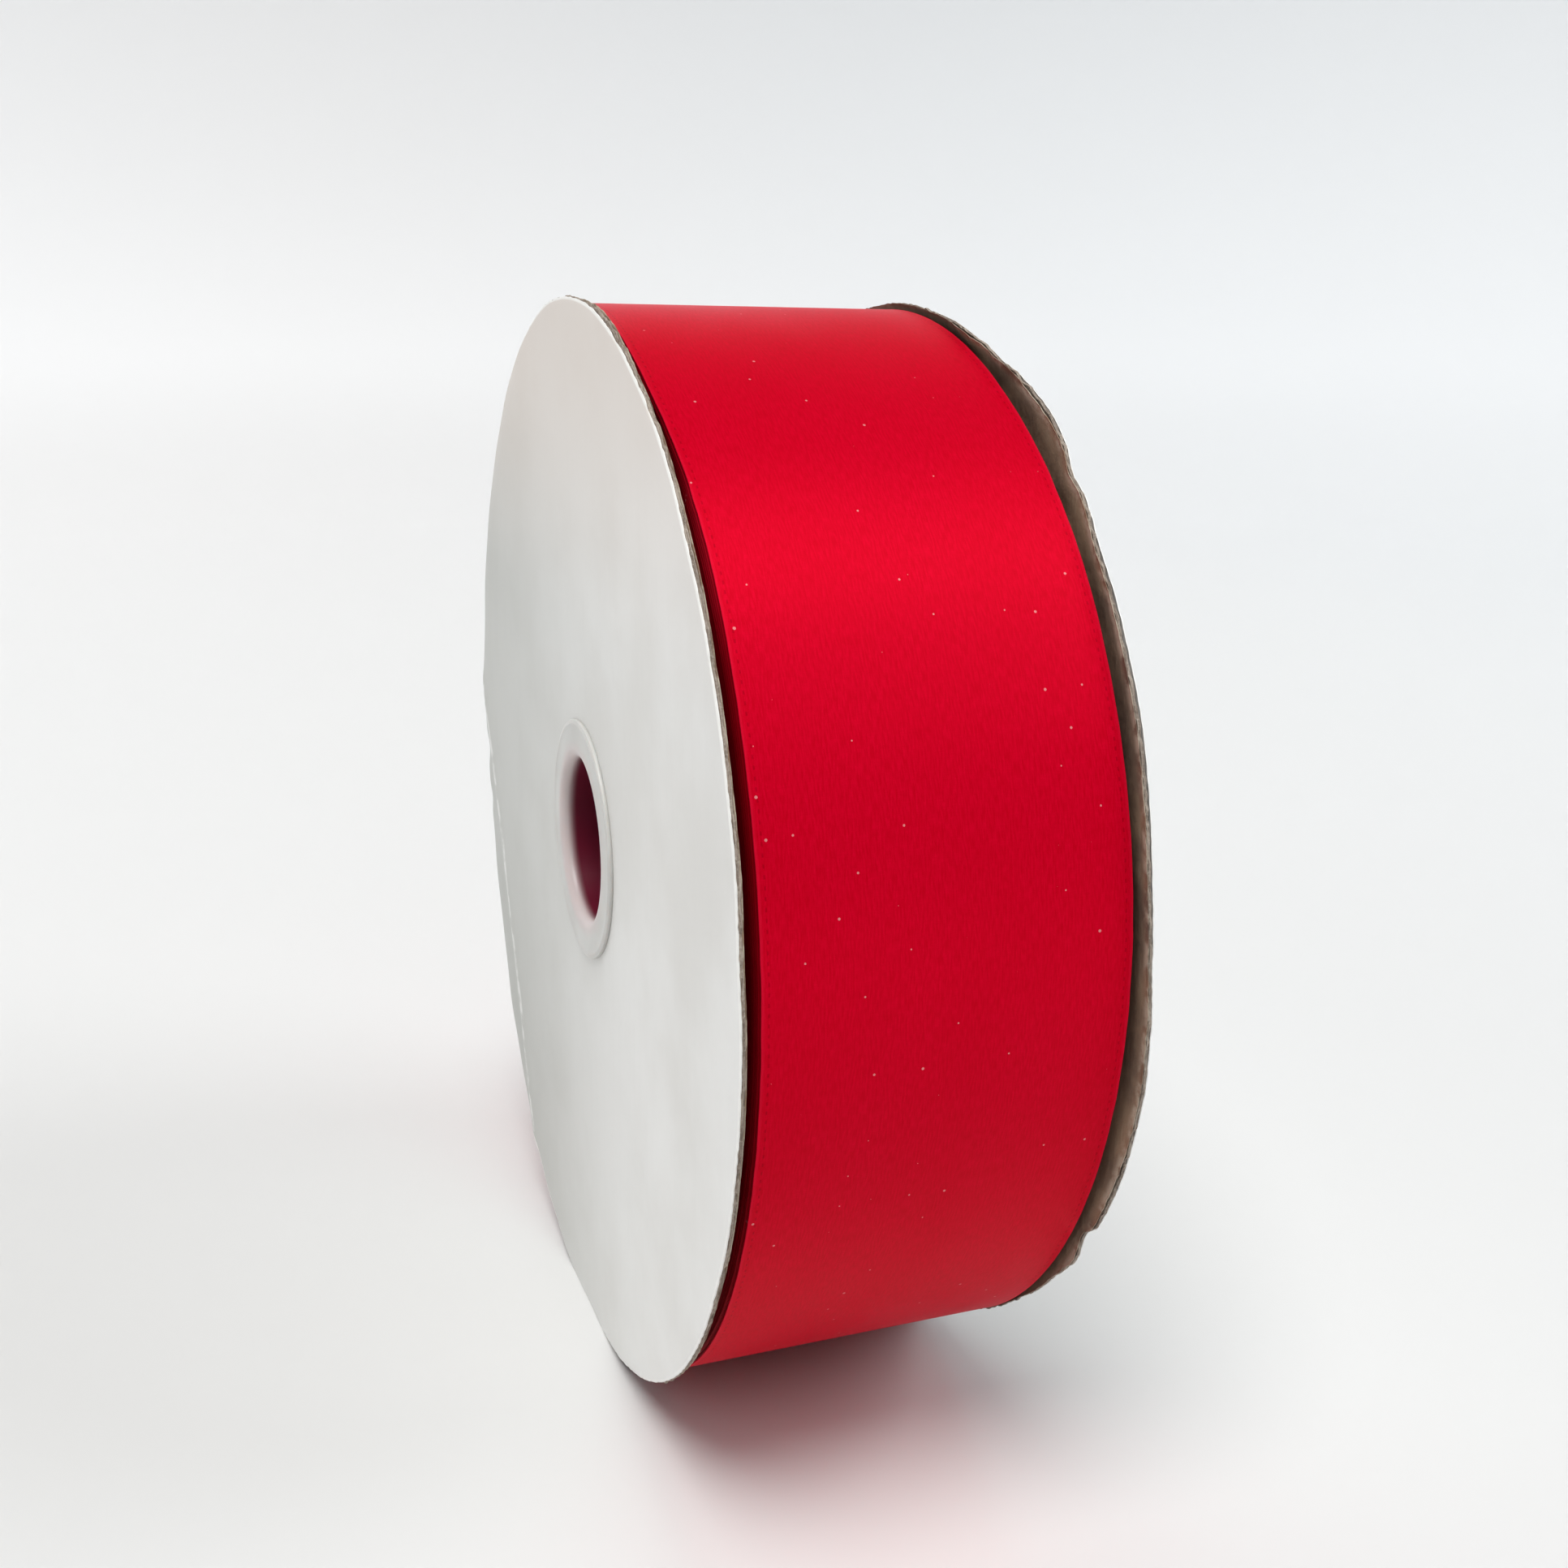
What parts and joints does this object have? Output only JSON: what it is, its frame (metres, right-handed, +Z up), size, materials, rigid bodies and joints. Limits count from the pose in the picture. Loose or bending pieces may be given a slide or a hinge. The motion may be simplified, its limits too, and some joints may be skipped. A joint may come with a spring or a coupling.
{
  "type": "ribbon spool",
  "caption": "Flat-standing spool of wide satin ribbon: board flanges on a two-piece plastic hub with a spindle bore, and a free ribbon end that peels off the pack.",
  "frame": {"origin": "centre of the spindle bore, midway between the two flanges", "axes": "+Y along the bore from the front flange to the rear flange, +Z up from the crushed flats that the spool stands on, +X to the side where the ribbon is in full view"},
  "size_m": [0.163, 0.0536, 0.1624],
  "materials": {
    "coated_paper": "coated, faintly glossy",
    "chipboard": "torn, fibrous edge",
    "kraft_liner": "matte kraft",
    "hub_plastic": "translucent, soft gloss",
    "satin": "satin weave, glossy across the width",
    "tape_film": "clear film"
  },
  "bodies": {
    "spool": {"front_facing_paper": "coated_paper", "front_board": "chipboard", "front_liner": "kraft_liner", "rear_facing_paper": "coated_paper", "rear_board": "chipboard", "rear_liner": "kraft_liner", "front_hub": "hub_plastic", "rear_hub": "hub_plastic", "core_tape": "tape_film", "ribbon_pack": "satin"},
    "tail": {"ribbon_tail": "satin", "end_tape": "tape_film"}
  },
  "joints": [
    {"name": "tail_peel", "type": "hinge", "parent": "spool", "child": "tail", "pos_m": [-0.06173, 0, 0.05066], "axis": [0, 1, 0], "range_deg": [0, 70]}
  ]
}
